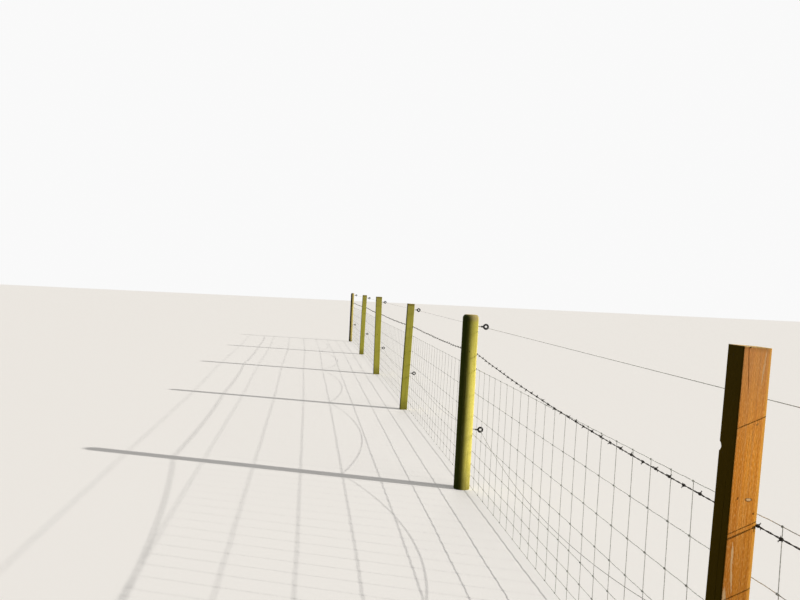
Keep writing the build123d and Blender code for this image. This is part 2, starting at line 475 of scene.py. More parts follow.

        # Faded upper part, greyed head, damp foot, painted shade tinted like algae on the path side, painted
        # highlight along the field side, end grain, painted shade in the splits
        height = add("SeparateXYZ", (own,), "Z")
        across = height.node.outputs["X"]
        uneven = add("Math", (patches, self.raggedness, height), operation="MULTIPLY_ADD")
        top, half = setting.length, setting.size / 2
        head = top - self.weathered_length
        shade_and_algae_end, sunlight_end = self.shade_and_algae_reach - half, half - self.sunlight_and_bleach_reach
        faded = add("MapRange", (height, top - self.faded_length, top, 0.0, 0.55),
                    interpolation_type="SMOOTHSTEP")
        layers.append((faded, self.faded))
        for place, begin, end, at_begin, at_end, colour in (
                (uneven, head, head + self.weathered_blend, 0.0, 0.8, self.weathered),
                (uneven, self.damp_foot, self.damp_height, self.damp_share, 0.0, self.knot),
                # painted shade, tinted like algae, on the path side
                (across, 0.3 * self.shade_and_algae_reach - half, shade_and_algae_end, self.shade_and_algae_share, 0.0, self.shade_and_algae),
                # painted highlight along the field side
                (across, half - 0.3 * self.sunlight_and_bleach_reach, sunlight_end, 0.85, 0.0, self.sunlight_and_bleach),
                (height, top - self.end_edge[0], top - self.end_edge[1], 0.0, 0.75, self.end_grain)):
            layers.append((add("MapRange", (place, begin, end, at_begin, at_end)), colour))
        # painted shade in the drying checks, as dark as each is open
        layers.append((add("Attribute", output="Fac", attribute_name="split_shade"), self.split_shade))

        # Each layer over the ones before it, on wood whose fibres stand up a few tenths of a millimetre
        wood = linear(self.early)
        for share, colour in layers:
            coat = linear(colour) if isinstance(colour, str) else colour
            wood = add("Mix", {0: share, 6: wood, 7: coat}, 2, data_type="RGBA")
        fibres = add("Math", (streaks, 0.6, mottle), operation="MULTIPLY_ADD")
        fibres = add("Math", (late, 0.25, fibres), operation="MULTIPLY_ADD")
        bump = add("Bump", {"Strength": 0.8, "Distance": self.relief, "Height": fibres})
        surface = add("BsdfPrincipled", {
            "Base Color": wood, "Roughness": self.roughness, "Specular IOR Level": self.sheen,
            "Normal": bump})
        add("OutputMaterial", (surface,))
        return material


# Sawn softwood with a brown pressure treatment: warm orange brown, streaked, with dark splits
# painted shade on the path side and in the splits, a painted highlight along the field side
BROWN_TIMBER = Timber(
    "brown_treated_softwood", "brown_timber", early="#ffac42", late="#c46e20", stain="#e68c32",
    streak="#ffcc84", knot="#55290c", knot_core="#f4d6a6", faded="#d09868", weathered="#b07c48",
    shade_and_algae="#675606", sunlight_and_bleach="#c4923e", graze="#ffdba6", pith=(-28 * MM, 64 * MM), ring_width=6 * MM,
    weathered_length=3 * MM, shade_and_algae_share=0.95, sunlight_and_bleach_reach=9.5 * MM, damp_height=960 * MM,
    damp_share=1.0, fleck_share=0.5, sheen=0.03)

# Peeled softwood with a green copper treatment, faded to straw in the sun and grey brown at the head
# painted shade over the path half, tinted like algae, and a painted highlight along the field side
FADED_GREEN_TIMBER = Timber(
    "faded_green_softwood", "treated_timber", early="#d0c65c", late="#928a30", stain="#aba040",
    streak="#e8df96", knot="#4d4417", knot_core="#8d7a38", faded="#77752a", weathered="#94865c",
    shade_and_algae="#2c4604", sunlight_and_bleach="#d6cc90", pith=(3 * MM, -4 * MM), ring_width=4.5 * MM,
    weathered_length=30 * MM, faded_length=340 * MM, shade_and_algae_reach=62 * MM, shade_and_algae_share=0.85,
    sunlight_and_bleach_reach=12 * MM, fleck_share=0.4)

# The same treatment, fresher, on sawn and thinner posts
# default painted shade on the path side and painted highlight along the field side
OLIVE_TIMBER = Timber(
    "olive_treated_softwood", "treated_timber", early="#beb94a", late="#848125", stain="#a19b36",
    streak="#d2cd7c", knot="#3f3a14", knot_core="#7c7534", faded="#a09750", weathered="#7d6f2c",
    pith=(6 * MM, 5 * MM), ring_width=4 * MM, weathered_length=16 * MM)

# Peeled post, dark at its damp foot and bleached to tan in the sun, with painted shade over its path side
DARK_TIMBER = Timber(
    "dark_treated_softwood", "dark_timber", early="#b9ab62", late="#7c7033", stain="#948545",
    streak="#d9cf92", knot="#2e240d", knot_core="#5d4e24", faded="#a3955a", weathered="#7d6c40",
    shade_and_algae="#231f06", pith=(2 * MM, 5 * MM), shade_and_algae_reach=40 * MM, shade_and_algae_share=0.9)


@dataclass(frozen=True)
class Metal:
    """Drawn wire or steel: its zinc coat dulls to a fine grey bloom."""

    name: str
    slot: str
    bright: str
    dull: str
    metallic: float
    roughness: float
    patch: float             # size of the bloom's patches
    sheen: float = 0.5

    def material(self) -> bpy.types.Material:
        """Make the finish.

        Returns:
            The material.
        """
        material = bpy.data.materials.new(self.name)
        add = nodes_of(material)
        bloom = add("TexNoise", {
            "Vector": add("TexCoord", output="Object"), "Scale": 1 / self.patch, "Detail": 4.0,
            "Roughness": 0.6})
        share = add("MapRange", (bloom, 0.38, 0.62))
        colour = add("Mix", {0: share, 6: linear(self.bright), 7: linear(self.dull)}, 2, data_type="RGBA")
        rough = add("MapRange", (bloom, 0.3, 0.7, self.roughness - 0.08, self.roughness + 0.12))
        bump = add("Bump", {"Strength": 0.4, "Distance": 0.1 * MM, "Height": bloom})
        surface = add("BsdfPrincipled", {
            "Base Color": colour, "Metallic": self.metallic, "Roughness": rough,
            "Specular IOR Level": self.sheen, "Normal": bump})
        add("OutputMaterial", (surface,))
        return material


# Galvanised netting wire, its zinc weathered to a pale dull grey
NETTING_WIRE = Metal("galvanised_netting_wire", "galvanised_wire", bright="#c4c6c0", dull="#8c8e87",
                     metallic=0.45, roughness=0.5, patch=6 * MM)

# Older galvanised strand, its zinc gone dark, and darkened further as painted shade of its unlit side
STRAND_WIRE = Metal("weathered_and_shaded_barbed_wire", "barbed_wire", bright="#3d3932", dull="#1b1813",
                    metallic=0.15, roughness=0.7, patch=5 * MM, sheen=0.25)

# High tensile wire, smooth and still fairly bright
FENCE_WIRE = Metal("high_tensile_wire", "electric_wire", bright="#83847e", dull="#53544e",
                   metallic=0.8, roughness=0.36, patch=8 * MM)

# Zinc plated steel screw
SCREW_STEEL = Metal("zinc_plated_screw", "galvanised_wire", bright="#a8a69a", dull="#75705f",
                    metallic=0.9, roughness=0.35, patch=3 * MM)

# Galvanised staple, bruised by the hammer
STAPLE_STEEL = Metal("galvanised_staple", "galvanised_wire", bright="#a5a59c", dull="#6b6a60",
                     metallic=0.7, roughness=0.42, patch=3 * MM)


@dataclass(frozen=True)
class MouldedPlastic:
    """Black polyethylene as it leaves the mould: satin, a little chalky after years outdoors."""

    name: str = "black_polyethylene"
    slot: str = "black_plastic"
    fresh: str = "#08090a"
    chalked: str = "#17181a"
    roughness: float = 0.6
    sheen: float = 0.22
    grit: float = 1.2 * MM
    chalk_size: float = 1 / 90       # 11 mm

    def material(self) -> bpy.types.Material:
        """Make the finish.

        Returns:
            The material.
        """
        material = bpy.data.materials.new(self.name)
        add = nodes_of(material)
        place = add("TexCoord", output="Object")
        grain = add("TexNoise", {"Vector": place, "Scale": 1 / self.grit, "Detail": 3.0})
        chalk = add("TexNoise", {
            "Vector": place, "Scale": 1 / self.chalk_size, "Detail": 3.0, "Roughness": 0.6})
        share = add("MapRange", (chalk, 0.42, 0.68))
        colour = add("Mix", {0: share, 6: linear(self.fresh), 7: linear(self.chalked)}, 2, data_type="RGBA")
        bump = add("Bump", {"Strength": 0.5, "Distance": 0.08 * MM, "Height": grain})
        surface = add("BsdfPrincipled", {
            "Base Color": colour, "Roughness": self.roughness, "Specular IOR Level": self.sheen,
            "Normal": bump})
        add("OutputMaterial", (surface,))
        return material


@dataclass
class TimberPost:
    """Wooden post with its eased or waney corners, splits, knots and end grain."""

    number: int
    section: Section
    timber: Timber
    marks: tuple[Mark, ...] = ()
    checks: tuple[DryingCheck, ...] = ()
    wane: tuple[float, float] = (0.0, 0.0)   # width and depth of the flat along the near field corner
    chip_height: float = 0.0
    chip_radius: float = 10 * MM
    row: float = 12 * MM     # height of one row of the mesh
    columns: int = 17        # cuts across one side of a square post
    facets: int = 72         # sides of a round post
    arris: float = 2.5 * MM
    head: tuple[tuple[float, float], ...] = (    # below the top, and in from the side, down a round head
        (24, 0), (17, 1.6), (11, 4.2), (6.5, 7.6), (3, 11.6), (1, 16))
    unevenness: float = 0.5 * MM
    wander: float = 1.2 * MM         # of a drying check
    run_out: float = 20 * MM         # a check that ends this near to the head runs out through it
    wane_loss: float = 0.35          # share of the flat that is gone at the head

    def __post_init__(self) -> None:
        """Read the post's place from the frame."""
        self.node = f"post_{self.number}"
        self.setting = Setting.read(self.node)
        self.half = self.setting.size / 2

    def build(self) -> None:
        """Model the post and put it in the frame's place."""
        bm = self.square_blank() if self.section is Section.SQUARE else self.round_blank()
        self.store_marks(bm)
        self.open_checks(bm)
        self.roughen(bm)
        if self.wane[0]:
            self.plane_wane(bm)
        if self.chip_height:
            self.knock_chip(bm)
        bmesh.ops.transform(bm, matrix=self.setting.place(), verts=bm.verts)
        bmesh.ops.bisect_plane(bm, geom=[*bm.verts, *bm.edges, *bm.faces], dist=0.0001 * MM,
                               plane_co=(0, 0, 0), plane_no=(0, 0, 1), clear_inner=True)
        close_up(bm)
        finish = self.timber.material(self.setting, self.number)
        show(f"timber_{self.node}", bm, [finish], [self.node], crease=40)

    def square_blank(self) -> bmesh.types.BMesh:
        """Saw a square post in its own axes.

        Returns:
            The post, going on below the ground, its faces in a fine grid.
        """
        size, length = self.setting.size, self.setting.length
        bm = bmesh.new()
        bmesh.ops.create_cube(bm, size=1.0)
        bmesh.ops.scale(bm, vec=(size, size, length + self.half), verts=bm.verts)
        bmesh.ops.translate(bm, vec=(0, 0, (length - self.half) / 2), verts=bm.verts)
        uprights = [edge for edge in bm.edges if edge.calc_length() > length / 2]
        bmesh.ops.bevel(bm, geom=uprights, offset=self.arris, offset_type="OFFSET", segments=3, profile=0.5,
                        affect="EDGES", material=-1)
        across = [edge for edge in bm.edges if size / 2 < edge.calc_length() < length / 2]
        bmesh.ops.subdivide_edges(bm, edges=across, cuts=self.columns)
        uprights = [edge for edge in bm.edges if edge.calc_length() > length / 2]
        bmesh.ops.subdivide_edges(bm, edges=uprights, cuts=int((length + self.half) / self.row))
        for axis in (0, 1):
            normal = Vector((0, 0, 0))
            normal[axis] = 1
            places = sorted({round(vert.co[axis], 7) for vert in bm.verts if vert.co.z > length - SAME_PLACE})
            for place in places[1:-1]:
                head = [face for face in bm.faces if face.calc_center_median().z > length - SAME_PLACE]
                geom = {*head, *(edge for face in head for edge in face.edges),
                        *(vert for face in head for vert in face.verts)}
                bmesh.ops.bisect_plane(bm, geom=list(geom), dist=SAME_PLACE, plane_co=normal * place,
                                       plane_no=normal)
        return bm

    def round_blank(self) -> bmesh.types.BMesh:
        """Peel a round post in its own axes.

        Returns:
            The post, going on below the ground, with a rounded head.
        """
        length = self.setting.length
        shoulder = length - self.head[0][0] * MM
        count = int((shoulder + self.half) / self.row)
        rings = [(-self.half + (shoulder + self.half) * step / count, self.half) for step in range(count)]
        rings += [(length - below * MM, self.half - inward * MM) for below, inward in self.head]
        brim = rings[-1][1]
        rings += [(length - share * MM, share * brim) for share in (0.8, 0.6, 0.4, 0.2)]
        bm = bmesh.new()
        path = [Vector((0, 0, height)) for height, _ in rings]
        sweep(bm, path, [radius for _, radius in rings], self.facets)
        cap_ends(bm)
        cap = [face for face in bm.faces
               if len(face.verts) == self.facets and face.calc_center_median().z > 0]
        bmesh.ops.poke(bm, faces=cap)
        return bm

    def around(self, co: Vector) -> float:
        """Measure round the post's outline.

        Args:
            co: Point on a side, in the post's own axes.

        Returns:
            Distance from the near side's first edge towards the field.
        """
        if self.section is Section.ROUND:
            return math.atan2(co.x, -co.y) % math.tau * self.half
        sides = (-co.y, co.x, co.y, -co.x)
        side = sides.index(max(sides))
        along = (co.x, co.y, -co.x, -co.y)[side]
        return side * self.setting.size + self.half + along

    def place_around(self, side: Side, across: float) -> float:
        """Find a mark's place round the post's outline.

        Args:
            side: Side that the mark is on.
            across: Its distance from that side's middle line.

        Returns:
            Distance from where around() starts.
        """
        if self.section is Section.ROUND:
            return (side.value * math.pi / 2 * self.half + across) % self.girth()
        return side.value * self.setting.size + self.half + across

    def girth(self) -> float:
        """Length of the post's outline."""
        return math.tau * self.half if self.section is Section.ROUND else 4 * self.setting.size

    def inward(self, co: Vector) -> Vector:
        """Find the direction into the wood.

        Args:
            co: Point on a side, in the post's own axes.

        Returns:
            The direction, of length one.
        """
        if self.section is Section.ROUND:
            return -Vector((co.x, co.y, 0)).normalized()
        sides = (Vector((0, 1, 0)), Vector((-1, 0, 0)), Vector((0, -1, 0)), Vector((1, 0, 0)))
        return sides[int(self.around(co) / self.setting.size) % 4]

    def gap_around(self, here: float, there: float) -> float:
        """Signed distance round the outline from one place to another, the short way."""
        girth = self.girth()
        return (here - there + girth / 2) % girth - girth / 2

    def store_marks(self, bm: bmesh.types.BMesh) -> None:
        """Store each vertex's way from its nearest mark, in the mark's half sizes, and the mark's kind.

        Args:
            bm: Bmesh of the post in its own axes.
        """
        layer = bm.verts.layers.float_vector.new("from_mark")
        for vert in bm.verts:
            here = self.around(vert.co)
            nearest, kind = Vector((9, 9)), MarkKind.KNOT
            for mark in self.marks:
                up = vert.co.z - mark.height * MM
                there = self.place_around(mark.side, mark.across * MM + mark.slant * up)
                reach = Vector((self.gap_around(here, there) / (mark.wide * MM), up / (mark.tall * MM))) * 2
                if reach.length < nearest.length:
                    nearest, kind = reach, mark.kind
            if nearest.length > 2:
                nearest *= 10  # two marks on opposite sides then never blend to a third between them
            vert[layer] = (*nearest, kind.value)

    def open_checks(self, bm: bmesh.types.BMesh) -> None:
        """Open the drying checks: a column of vertices goes in, its neighbours become the lips.

        Args:
            bm: Bmesh of the post in its own axes.
        """
        layer = bm.verts.layers.float.new("split_shade")
        shell = [vert for vert in bm.verts if self.on_side(vert.co)]
        columns = sorted({round(self.around(vert.co), 5) for vert in shell})
        for check in self.checks:
            low, high = check.low * MM, check.high * MM
            there = self.place_around(check.side, check.across * MM)
            middle = min(range(len(columns)), key=lambda number: abs(self.gap_around(columns[number], there)))
            trio = {columns[(middle + step) % len(columns)]: step for step in (-1, 0, 1)}
            for vert in shell:
                step = trio.get(round(self.around(vert.co), 5))
                if step is None or not low < vert.co.z < high + SAME_PLACE:
                    continue
                share = (vert.co.z - low) / (high - low)
                open_above = 1.0 if high > self.setting.length - self.run_out else 4 * (1 - share)
                open_share = min(1.0, 4 * share, open_above)
                wander = self.wander * noise.noise(Vector((self.number, 0, vert.co.z * 25)))
                lip = step * check.gape * MM / 2 * open_share
                aim = there + check.drift * MM * (share - 0.5) + wander + lip
                inward = self.inward(vert.co)
                tangent = inward.cross(Vector((0, 0, 1)))
                vert.co += tangent * self.gap_around(aim, self.around(vert.co))
                if step == 0:
                    vert.co += inward * (check.depth * MM) * open_share
                    # how far the check is open, which the material paints as shade in it
                    vert[layer] = open_share

    def on_side(self, co: Vector) -> bool:
        """Whether a vertex is on the post's sides and not inside its ends."""
        reach = math.hypot(co.x, co.y) if self.section is Section.ROUND else max(abs(co.x), abs(co.y))
        return reach > self.half - SAME_PLACE

    def roughen(self, bm: bmesh.types.BMesh) -> None:
        """Take the flatness off sides and head, always into the wood.

        Args:
            bm: Bmesh of the post in its own axes.
        """
        seat = Vector((self.number * 3.1, 0, 0))
        for vert in bm.verts:
            broad = 0.5 + 0.5 * noise.noise(vert.co * BROAD_WAVES + seat)
            fine = 0.5 + 0.5 * noise.noise(vert.co * FINE_WAVES)
            if vert.co.z > self.setting.length - SAME_PLACE:
                vert.co.z -= self.unevenness * (0.3 + 1.2 * fine)
            else:
                vert.co += self.inward(vert.co) * self.unevenness * (broad + 0.35 * fine)

    def plane_wane(self, bm: bmesh.types.BMesh) -> None:
        """Flatten the near field corner, where the sawn face ran out, more and more towards the foot.

        Args:
            bm: Bmesh of the post in its own axes.
        """
        for vert in bm.verts:
            share = 1.0 - self.wane_loss * min(1.0, max(0.0, vert.co.z / self.setting.length))
            ragged = 0.1 * noise.noise(Vector((0, 0, vert.co.z * 9)))
            width, depth = [leg * (share + ragged) for leg in self.wane]
            in_from_edge = self.half - vert.co.x
            floor = -self.half + depth * (1 - in_from_edge / width)
            if in_from_edge < width and vert.co.y < floor:
                vert.co.y = floor

    def knock_chip(self, bm: bmesh.types.BMesh) -> None:
        """Scoop a chip out of the far path-side corner.

        Args:
            bm: Bmesh of the post in its own axes.
        """
        corner = Vector((-self.half, self.half, self.chip_height))
        into = Vector((1, -1, 0)).normalized()
        for vert in bm.verts:
            reach = vert.co - corner
            along = reach.dot(into)
            across = (reach - into * along).length
            bottom = math.sqrt(max(0.0, self.chip_radius ** 2 - across ** 2))
            if across < self.chip_radius and along < bottom:
                vert.co += into * (bottom - along)


@dataclass
class StockNetting:
    """Hinge-joint netting: line wires along the run, and stays tied to them wire by wire."""

    finish: bpy.types.Material
    line_sides: int = 8
    stay_sides: int = 5
    crimp: float = 1.1 * MM  # height of the wave that takes up slack between stays
    crimp_steps: int = 6     # rings of wire to each stay
    coil_turns: float = 1.25
    coil_pitch: float = 1.08  # in widths of the wire, so that its turns lie side by side
    coil_steps: int = 10
    sway: float = 1.6 * MM
    stay_skew: float = 4 * MM    # most that a stay's head stands along the run from its foot
    stay_shift: float = 3 * MM

    def build(self) -> None:
        """Model the netting of every bay."""
        for bay in range(1, BAY_COUNT + 1):
            self.build_bay(bay)

    def build_bay(self, bay: int) -> None:
        """Model one bay of netting.

        Args:
            bay: Number of the bay, from the near end.
        """
        node = f"netting_bay_{bay}"
        low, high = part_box(node)
        starts, ends = centres_at(node, low.y), centres_at(node, high.y)
        length = high.y - low.y
        line = self.crimped_line(length)
        stay = self.tied_stay([start.z for start in starts])
        chance = random.Random(bay)
        bm = bmesh.new()
        for start, end in zip(starts, ends):
            slant = (end.x - start.x) / length
            stamp(bm, line, Matrix((
                (1, slant, 0, start.x), (0, 1, 0, start.y), (0, 0, 1, start.z), (0, 0, 0, 1))))
        for number in range(STAY_COUNT):
            share = (FIRST_STAY + number * STAY_SPACING) / length
            foot, head = [starts[line_number].lerp(ends[line_number], share) for line_number in (0, -1)]
            lean = (head.x - foot.x) / (head.z - foot.z)
            skew = chance.uniform(-self.stay_skew, self.stay_skew) / (head.z - foot.z)
            shift = chance.uniform(0, self.stay_shift)
            stamp(bm, stay, Matrix((
                (1, 0, lean, foot.x - lean * foot.z), (0, 1, skew, foot.y + shift),
                (0, 0, 1, 0), (0, 0, 0, 1))))
        for vert in bm.verts:  # the netting wanders a little between the posts that hold it
            share = (vert.co.y - low.y) / length
            free = min(1.0, 6 * share, 6 * (1 - share))
            seat = Vector((bay * 5.3, vert.co.y * 2.2, vert.co.z * 3.0))
            vert.co.x += self.sway * free * noise.noise(seat)
            vert.co.z += self.sway * free * noise.noise(seat + Vector((40, 0, 0)))
        show(f"netting_wires_{bay}", bm, [self.finish], [node])
        bpy.data.meshes.remove(line)
        bpy.data.meshes.remove(stay)

    def crimped_line(self, length: float) -> bpy.types.Mesh:
        """Draw one line wire, with a crimp between each two stays.

        Args:
            length: Length of the bay.

        Returns:
            The wire, from the origin along the run.
        """
        bm = bmesh.new()
        lie = Matrix.Translation((0, length / 2, 0)) @ Matrix.Rotation(-math.pi / 2, 4, "X")
        bmesh.ops.create_cone(bm, cap_ends=True, segments=self.line_sides, radius1=LINE_RADIUS,
                              radius2=LINE_RADIUS, depth=length, matrix=lie)
        along = [edge for edge in bm.edges if edge.calc_length() > length / 2]
        bmesh.ops.subdivide_edges(bm, edges=along, cuts=self.crimp_steps * STAY_COUNT - 1)
        for vert in bm.verts:
            phase = (vert.co.y - FIRST_STAY) / STAY_SPACING
            vert.co.z += self.crimp * math.sin(math.tau * phase) * math.sin(math.pi * phase) ** 2
        return kept_mesh("line_wire", bm)

    def tied_stay(self, heights: Sequence[float]) -> bpy.types.Mesh:
        """Make one upright: a short wire between each two line wires, wrapped round both.

        Args:
            heights: Heights of the line wires, from the lowest up.

        Returns:
            The upright, at the origin.
        """
        bm = bmesh.new()
        pitch = 2 * STAY_RADIUS * self.coil_pitch
        out = LINE_RADIUS + STAY_RADIUS
        for low, high in zip(heights, heights[1:]):
            before = set(bm.edges)
            sweep(bm, [Vector((out, pitch / 2, low)), Vector((out, -pitch / 2, high))], STAY_RADIUS,
                  self.stay_sides)
            made = [edge for edge in bm.edges if edge not in before]
            rings = [edge for edge in made if edge.calc_length() < (high - low) / 2]
            for height, way in ((low, 1), (high, -1)):
                ring = [edge for edge in rings if abs(edge.verts[0].co.z - height) < STAY_RADIUS]
                bmesh.ops.spin(bm, geom=ring, cent=(0, 0, height), axis=(0, way, 0),
                               dvec=(0, way * pitch * self.coil_turns / self.coil_steps, 0),
                               angle=math.tau * self.coil_turns, steps=self.coil_steps)
        close_up(bm)
        return kept_mesh("stay", bm)


@dataclass(frozen=True)
class Hang:
    """Line that a wire takes between two posts, straight but for its sag."""

    start: Vector
    end: Vector
    sag: float

    @classmethod
    def read(cls, node: str, first: float, last: float) -> "Hang":
        """Measure a wire of the frame.

        Args:
            node: Name of its node.
            first: Place of its first post along the run.
            last: Place of its last post.

        Returns:
            The wire's line.
        """
        start, middle, end = [centres_at(node, run)[0] for run in (first, (first + last) / 2, last)]
        return cls(start, end, (start.z + end.z) / 2 - middle.z)

    def at(self, share: float) -> Vector:
        """Point of the wire at a share of its way."""
        return self.start.lerp(self.end, share) - Vector((0, 0, 4 * self.sag * share * (1 - share)))


@dataclass
class BarbedStrand:
    """Two twisted wires with four-point barbs wrapped round them."""

    finish: bpy.types.Material
    steps_per_lay: int = 12
    sides: int = 6
    barb_sides: int = 5
    wraps: float = 1.9
    wrap_pitch: float = 1.05  # in widths of the wire
    wrap_starts: tuple[float, float] = (25, 115)     # degrees round the strand
    loose: float = 0.5       # most that a barb is turned, in radians
    seed: int = 100
    wrap_steps: int = 14
    tip: float = 0.12        # radius of a point's end, as a share of the wire's
    cut: float = 0.75        # where a point's taper starts, along its straight end

    def build(self) -> None:
        """Model the strand of every bay."""
        barb = self.barb()
        for bay in range(1, BAY_COUNT + 1):
            self.build_bay(bay, barb)
        bpy.data.meshes.remove(barb)

    def build_bay(self, bay: int, barb: bpy.types.Mesh) -> None:
        """Model one bay of the strand.

        Args:
            bay: Number of the bay, from the near end.
            barb: Mesh of one barb at the origin.
        """
        node = f"barbed_wire_bay_{bay}"
        low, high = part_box(node)
        hang = Hang.read(node, low.y, high.y)
        length = high.y - low.y
        chance = random.Random(self.seed + bay)
        twist = self.twisted_pair(length)
        bm = bmesh.new()
        stamp(bm, twist, Matrix.Identity(4))
        place = FIRST_BARBS[(bay + 1) % 2]
        while place < length - BARB_REACH:
            angle = chance.choice((0, math.pi)) + chance.uniform(-self.loose, self.loose)
            turn = Matrix.Rotation(angle, 4, "Y")
            stamp(bm, barb, Matrix.Translation((0, place, 0)) @ turn)
            place += BARB_SPACING
        for vert in bm.verts:
            vert.co += hang.at(vert.co.y / length) - Vector((0, vert.co.y, 0))
        show(f"barbed_strand_{bay}", bm, [self.finish], [node])
        bpy.data.meshes.remove(twist)

    def twisted_pair(self, length: float) -> bpy.types.Mesh:
        """Lay two wires up round each other.

        Args:
            length: Length of the bay.

        Returns:
            The pair, from the origin along the run.
        """
        bm = bmesh.new()
        steps = round(length / STRAND_LAY * self.steps_per_lay)
        for side in (1, -1):
            stand = Matrix.Translation((side * STRAND_RADIUS, 0, 0)) @ Matrix.Rotation(math.pi / 2, 4, "X")
            ring = add_circle(bm, self.sides, STRAND_RADIUS, stand)
            bmesh.ops.spin(bm, geom=ring, cent=(0, 0, 0), axis=(0, 1, 0), dvec=(0, length / steps, 0),
                           angle=math.tau * length / STRAND_LAY, steps=steps)
        close_up(bm)
        return kept_mesh("twisted_pair", bm)

    def barb(self) -> bpy.types.Mesh:
        """Wrap two short wires round the pair, with all four ends cut to points.

        Returns:
            One barb, at the origin.
        """
        bm = bmesh.new()
        out = 2 * STRAND_RADIUS + BARB_RADIUS
        straight = math.sqrt(BARB_REACH ** 2 - out ** 2)
        width = 2 * BARB_RADIUS * self.wrap_pitch * self.wraps
        for first, side in zip(map(math.radians, self.wrap_starts), (-1, 1)):
            path = []
            for step in range(self.wrap_steps + 1):
                share = step / self.wrap_steps
                angle = first + math.tau * self.wraps * share
                run = side * width / 2 + width * (share - 0.5)
                path.append(Vector((out * math.cos(angle), run, out * math.sin(angle))))
            last = first + math.tau * self.wraps
            begin = Vector((math.sin(first), 0, -math.cos(first))) * straight
            finish = Vector((-math.sin(last), 0, math.cos(last))) * straight
            path = [path[0] + begin, path[0] + begin * self.cut, *path,
                    path[-1] + finish * self.cut, path[-1] + finish]
            sizes = [BARB_RADIUS * self.tip, *[BARB_RADIUS] * (len(path) - 2), BARB_RADIUS * self.tip]
            sweep(bm, path, sizes, self.barb_sides)
        close_up(bm)
        return kept_mesh("barb", bm)


@dataclass
class ElectricWires:
    """Top and lower electric wires, lying in the rings and tied off at both ends of the run."""

    finish: bpy.types.Material
    sides: int = 10
    ease: float = 14 * MM    # the wire bends over this length at each ring
    ease_middle: float = 0.3  # how far the bend's middle stands off the knee, as a share of that
    sag_steps: int = 36
    tie_turns: int = 5
    tie_steps: int = 9       # of one turn
    tie_sides: int = 6
    tie_start: float = 14 * MM
    tie_radius: float = 1.03  # in widths of the wire
    tie_pitch: float = 1.05

    def build(self) -> None:
        """Model both wires."""
        stations = [Setting.read(f"post_{number}").foot.y for number in range(1, POST_COUNT + 1)]
        low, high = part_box("top_wire")
        held = [run for run in stations if centres_at("top_wire", run)]
        knees = [centres_at("top_wire", run)[0] for run in (low.y, *held, high.y)]
        bm = bmesh.new()
        sweep(bm, self.eased(knees), FENCE_WIRE_RADIUS, self.sides)
        self.tie_off(bm, knees[1], -1)
        self.tie_off(bm, knees[-2], 1)
        close_up(bm)
        show("top_electric_wire", bm, [self.finish], ["top_wire"])
        for bay, (first, last) in enumerate(zip(stations, stations[1:]), 1):
            self.build_lower(bay, first, last)

    def eased(self, knees: Sequence[Vector]) -> list[Vector]:
        """Round off each knee of a wire by two short bends.

        Args:
            knees: Points of the wire's axis.

        Returns:
            The wire's path.
        """
        path = [knees[0]]
        for before, knee, after in zip(knees, knees[1:], knees[2:]):
            back = (before - knee).normalized() * self.ease
            on = (after - knee).normalized() * self.ease
            path += [knee + back, knee + (back + on) * self.ease_middle, knee + on]
        return [*path, knees[-1]]

    def build_lower(self, bay: int, first: float, last: float) -> None:
        """Model the slack lower wire of one bay.

        Args:
            bay: Number of the bay, from the near end.
            first: Place of its first post along the run.
            last: Place of its last post.
        """
        node = f"lower_wire_bay_{bay}"
        hang = Hang.read(node, first, last)
        path = [hang.at(step / self.sag_steps) for step in range(self.sag_steps + 1)]
        low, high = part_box(node)
        bm = bmesh.new()
        if low.y < first - self.ease:
            path.insert(0, Vector((hang.start.x, low.y, hang.start.z)))
            self.tie_off(bm, hang.start, -1)
        if high.y > last + self.ease:
            path.append(Vector((hang.end.x, high.y, hang.end.z)))
            self.tie_off(bm, hang.end, 1)
        sweep(bm, path, FENCE_WIRE_RADIUS, self.sides)
        close_up(bm)
        show(f"lower_electric_wire_{bay}", bm, [self.finish], [node])

    def tie_off(self, bm: bmesh.types.BMesh, ring_point: Vector, way: int) -> None:
        """Wrap the wire's end round itself beyond the last ring.

        Args:
            bm: Bmesh of the wire.
            ring_point: The wire's axis in the last ring.
            way: Plus or minus one, outwards along the run.
        """
        radius = 2 * FENCE_WIRE_RADIUS * self.tie_radius
        pitch = 2 * FENCE_WIRE_RADIUS * self.tie_pitch
        path = []
        for step in range(self.tie_turns * self.tie_steps + 1):
            turns = step / self.tie_steps
            angle = math.tau * turns
            run = self.tie_start + pitch * turns
            path.append(ring_point + Vector((radius * math.cos(angle), way * run, radius * math.sin(angle))))
        sweep(bm, path, FENCE_WIRE_RADIUS, self.tie_sides)


